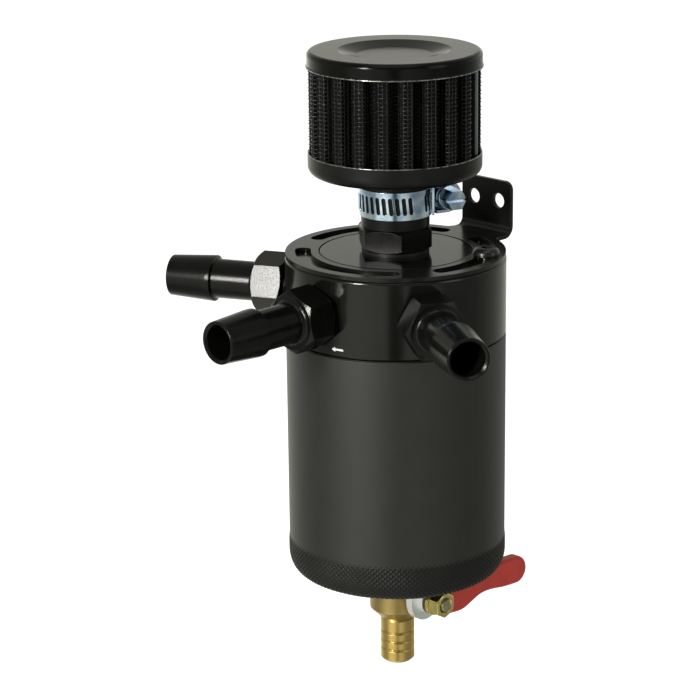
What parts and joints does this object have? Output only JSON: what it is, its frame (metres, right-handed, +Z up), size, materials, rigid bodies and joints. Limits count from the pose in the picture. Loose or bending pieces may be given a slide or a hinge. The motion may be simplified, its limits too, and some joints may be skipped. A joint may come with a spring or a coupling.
{
  "type": "oil catch can",
  "caption": "Cylindrical oil catch can with a knurled screw-off bowl, ported lid with hose barbs, clamped breather filter, slotted clocking bracket and lever drain valve.",
  "frame": {"origin": "on the can's axis at the shoulder of the drain barb, where a drain hose stops", "axes": "+Z up along the can's axis, +Y out of the bracket's mounting face"},
  "size_m": [0.1275, 0.1131, 0.1844],
  "materials": {
    "can_black": "satin black anodised",
    "fitting_black": "semi-gloss black anodised",
    "bracket_black": "satin black coat",
    "screw_black": "black oxide",
    "rubber_black": "semi-matt moulded",
    "seal_black": "matt",
    "gauze_black": "black wire gauze over cotton",
    "screen_steel": "woven",
    "strip_steel": "bright plated",
    "cap_black": "semi-gloss black",
    "clamp_zinc": "blue-white zinc",
    "baffle_aluminium": "as rolled",
    "screw_steel": "plain",
    "valve_brass": "satin turned",
    "ball_chrome": "polished",
    "seat_white": "matt",
    "lever_zinc": "white zinc",
    "grip_red": "dipped vinyl",
    "washer_dark": "dark",
    "nut_yellow": "yellow zinc"
  },
  "bodies": {
    "bracket": {"bracket": "bracket_black"},
    "head": {"lid": "can_black", "baffle_plate": "baffle_aluminium", "baffle_screws": "screw_steel", "bracket_screws": "screw_black", "adapter_washer": "seal_black", "filter_adapter": "fitting_black", "filter_base": "rubber_black", "filter_element": "gauze_black", "filter_inner_screen": "screen_steel", "filter_seam_strip": "strip_steel", "filter_cap": "cap_black", "clamp_band": "clamp_zinc", "clamp_housing": "clamp_zinc", "hose_barb_left": "fitting_black", "hose_barb_middle": "fitting_black", "hose_barb_right": "fitting_black"},
    "clamp_screw": {"clamp_screw": "clamp_zinc"},
    "rim_seal": {"bowl_o_ring": "seal_black"},
    "bowl": {"bowl": "can_black", "valve_body": "valve_brass", "valve_insert": "valve_brass", "valve_seat_lower": "seat_white", "valve_seat_upper": "seat_white"},
    "lever": {"valve_ball": "ball_chrome", "valve_stem": "valve_brass", "stem_o_ring": "seal_black", "lever": "lever_zinc", "lever_grip": "grip_red", "lever_spring_washer": "washer_dark", "lever_flat_washer": "nut_yellow", "lever_nut": "nut_yellow"}
  },
  "joints": [
    {"name": "bracket_clock", "type": "hinge", "parent": "bracket", "child": "head", "pos_m": [0, 0, 0.1125], "axis": [0, 0, 1], "range_deg": [-47, 41]},
    {"name": "bowl_lift", "type": "slide", "parent": "head", "child": "rim_seal", "axis": [0, 0, -1], "range_m": [0, 0.00801]},
    {"name": "bowl_turn", "type": "hinge", "parent": "rim_seal", "child": "bowl", "pos_m": [0, 0, 0.0891], "axis": [0, 0, -1], "range_deg": [0, 1440]},
    {"name": "valve_lever", "type": "hinge", "parent": "bowl", "child": "lever", "pos_m": [0.0098, 0, 0.009], "axis": [-1, 0, 0], "range_deg": [0, 90]},
    {"name": "clamp_screw_turn", "type": "hinge", "parent": "head", "child": "clamp_screw", "pos_m": [0.00442, 0.0136, 0.12805], "axis": [0.9511, -0.309, 0], "continuous": true}
  ],
  "couplings": [
    {"joint": "bowl_lift", "follows": "bowl_turn", "m_per_rad": 0.00031831}
  ]
}
